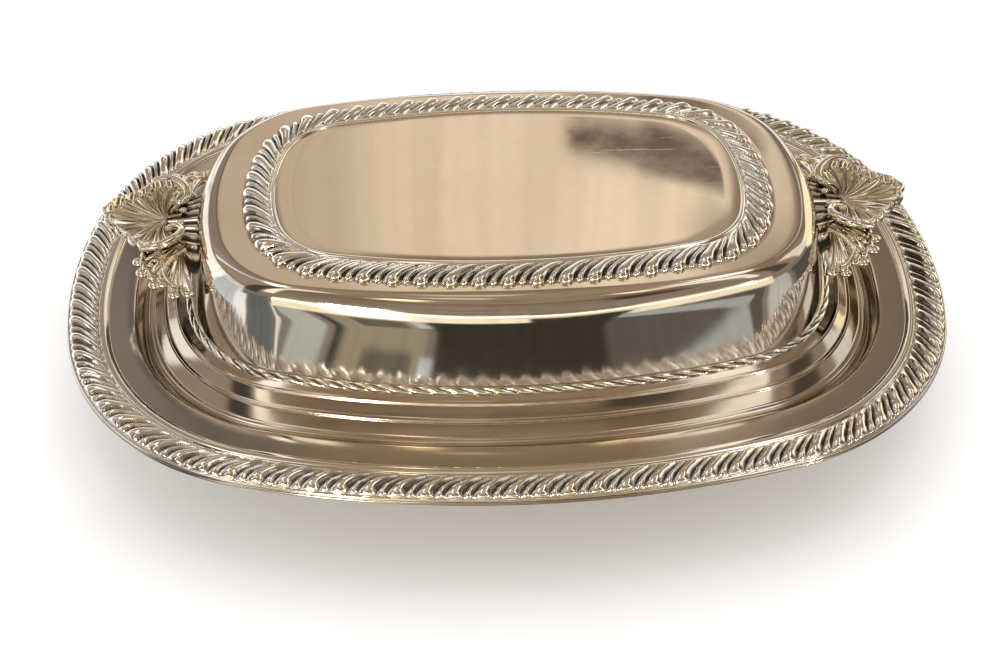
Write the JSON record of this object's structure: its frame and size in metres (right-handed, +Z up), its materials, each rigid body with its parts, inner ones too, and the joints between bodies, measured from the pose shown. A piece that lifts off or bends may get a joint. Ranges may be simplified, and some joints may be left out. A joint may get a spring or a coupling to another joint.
{
  "type": "covered serving dish",
  "caption": "Oblong covered serving dish of silver plate: wide flanged dish with a gadrooned rim, stepped lift-off cover with gadroon and rope borders, and cast shell handles.",
  "frame": {"origin": "on the table under the middle of the dish", "axes": "+Z up, +X along the length towards the right handle, +Y to the back"},
  "size_m": [0.33, 0.238, 0.0838],
  "materials": {
    "silver_sheet": "polished silver plate with a warm tarnish and fine scratches",
    "silver_border": "silver plate, bright on the lobes and dark in the grooves",
    "silver_casting": "cast silver plate with dark patina in the hollows"
  },
  "bodies": {
    "dish": {"dish_shell": "silver_sheet", "dish_gadroon_border": "silver_border"},
    "cover": {"cover_shell": "silver_sheet", "cover_gadroon_border": "silver_border", "cover_rope_border": "silver_border", "right_handle": "silver_casting", "left_handle": "silver_casting"}
  },
  "joints": [
    {"name": "cover_lift", "type": "slide", "parent": "dish", "child": "cover", "axis": [0, 0, 1], "range_m": [0, 0.12]}
  ]
}
